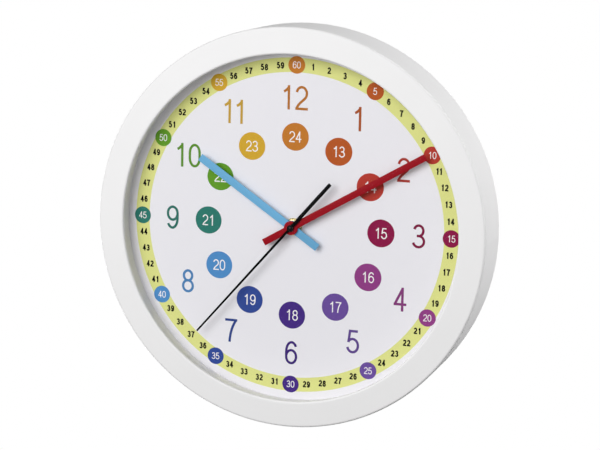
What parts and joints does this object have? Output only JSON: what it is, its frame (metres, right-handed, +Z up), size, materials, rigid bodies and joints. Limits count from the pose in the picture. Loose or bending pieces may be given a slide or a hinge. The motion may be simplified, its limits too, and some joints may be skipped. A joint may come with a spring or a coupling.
{
  "type": "time teaching wall clock",
  "caption": "Round white wall clock for learning the time, with coloured hour and minute figures, three hands, a clear window and a battery quartz movement.",
  "frame": {"origin": "centre of the hanging keyhole's round end, on the wall plane", "axes": "+X to the viewer's right, +Y into the wall, +Z up; the dial faces -Y"},
  "size_m": [0.3, 0.0463, 0.3],
  "materials": {
    "white_plastic": "glossy moulded",
    "clear_plastic": "clear polished",
    "dial_sheet": "satin printed",
    "steel": "plated",
    "blue_aluminium": "painted satin",
    "red_aluminium": "painted satin",
    "black_aluminium": "painted satin",
    "black_plastic": "glossy",
    "brass": "turned",
    "rubber": "matt",
    "housing_plastic": "fine textured",
    "wheel_plastic": "moulded",
    "magnet": "sintered",
    "copper": "enamelled wire",
    "board": "solder mask",
    "battery_sleeve": "plain sleeve"
  },
  "bodies": {
    "case": {"front_case": "white_plastic", "window": "clear_plastic", "dial": "dial_sheet", "rear_cover": "white_plastic", "case_screws": "steel", "fixing_nut": "brass", "brass_washer": "brass", "rubber_washer": "rubber", "threaded_bushing": "brass", "movement_front": "housing_plastic", "movement_back": "housing_plastic", "bearing_plate": "housing_plastic", "stator": "steel", "coil_core": "steel", "coil_bobbin": "wheel_plastic", "coil_winding": "copper", "circuit_board": "board", "chip": "black_plastic", "quartz_crystal": "steel", "positive_contact": "steel", "negative_contact": "steel"},
    "second_hand": {"second_hand": "black_aluminium", "second_hand_cap": "black_plastic", "second_arbor": "steel", "second_wheel": "wheel_plastic"},
    "minute_hand": {"minute_hand": "red_aluminium", "minute_pipe": "brass", "clutch_spring": "steel"},
    "hour_hand": {"hour_hand": "blue_aluminium", "hour_wheel": "wheel_plastic"},
    "minute_wheel": {"minute_wheel": "wheel_plastic"},
    "setting_knob": {"setting_pinion": "wheel_plastic", "setting_knob": "housing_plastic"},
    "centre_wheel": {"centre_wheel": "wheel_plastic"},
    "third_wheel": {"third_wheel": "wheel_plastic"},
    "intermediate_wheel": {"intermediate_wheel": "wheel_plastic"},
    "rotor": {"rotor_pinion": "wheel_plastic", "rotor_magnet": "magnet"},
    "battery": {"battery_can": "battery_sleeve", "battery_cap": "steel"}
  },
  "joints": [
    {"name": "second_hand_turn", "type": "hinge", "parent": "case", "child": "second_hand", "pos_m": [0, -0.0202, -0.095], "axis": [0, 1, 0], "continuous": true},
    {"name": "minute_hand_turn", "type": "hinge", "parent": "case", "child": "minute_hand", "pos_m": [0, -0.0202, -0.095], "axis": [0, 1, 0], "continuous": true},
    {"name": "hour_hand_turn", "type": "hinge", "parent": "case", "child": "hour_hand", "pos_m": [0, -0.0202, -0.095], "axis": [0, 1, 0], "continuous": true},
    {"name": "minute_wheel_turn", "type": "hinge", "parent": "case", "child": "minute_wheel", "pos_m": [-0.01039, -0.0202, -0.089], "axis": [0, 1, 0], "continuous": true},
    {"name": "setting_knob_turn", "type": "hinge", "parent": "case", "child": "setting_knob", "pos_m": [-0.01639, -0.0202, -0.07861], "axis": [0, 1, 0], "continuous": true},
    {"name": "centre_wheel_turn", "type": "hinge", "parent": "case", "child": "centre_wheel", "pos_m": [0, -0.0202, -0.095], "axis": [0, 1, 0], "continuous": true},
    {"name": "third_wheel_turn", "type": "hinge", "parent": "case", "child": "third_wheel", "pos_m": [0.00284, -0.0202, -0.08438], "axis": [0, 1, 0], "continuous": true},
    {"name": "intermediate_wheel_turn", "type": "hinge", "parent": "case", "child": "intermediate_wheel", "pos_m": [0.01104, -0.0202, -0.09403], "axis": [0, 1, 0], "continuous": true},
    {"name": "rotor_turn", "type": "hinge", "parent": "case", "child": "rotor", "pos_m": [0.01698, -0.0202, -0.08809], "axis": [0, 1, 0], "continuous": true},
    {"name": "battery_lift", "type": "slide", "parent": "case", "child": "battery", "axis": [0, 1, 0], "range_m": [0, 0.026]}
  ],
  "couplings": [
    {"joint": "hour_hand_turn", "follows": "minute_hand_turn", "ratio": 0.083333},
    {"joint": "minute_wheel_turn", "follows": "minute_hand_turn", "ratio": -0.33333},
    {"joint": "setting_knob_turn", "follows": "minute_hand_turn", "ratio": 1},
    {"joint": "third_wheel_turn", "follows": "second_hand_turn", "ratio": -0.13333},
    {"joint": "centre_wheel_turn", "follows": "second_hand_turn", "ratio": 0.016667},
    {"joint": "intermediate_wheel_turn", "follows": "second_hand_turn", "ratio": -5},
    {"joint": "rotor_turn", "follows": "second_hand_turn", "ratio": 30}
  ]
}
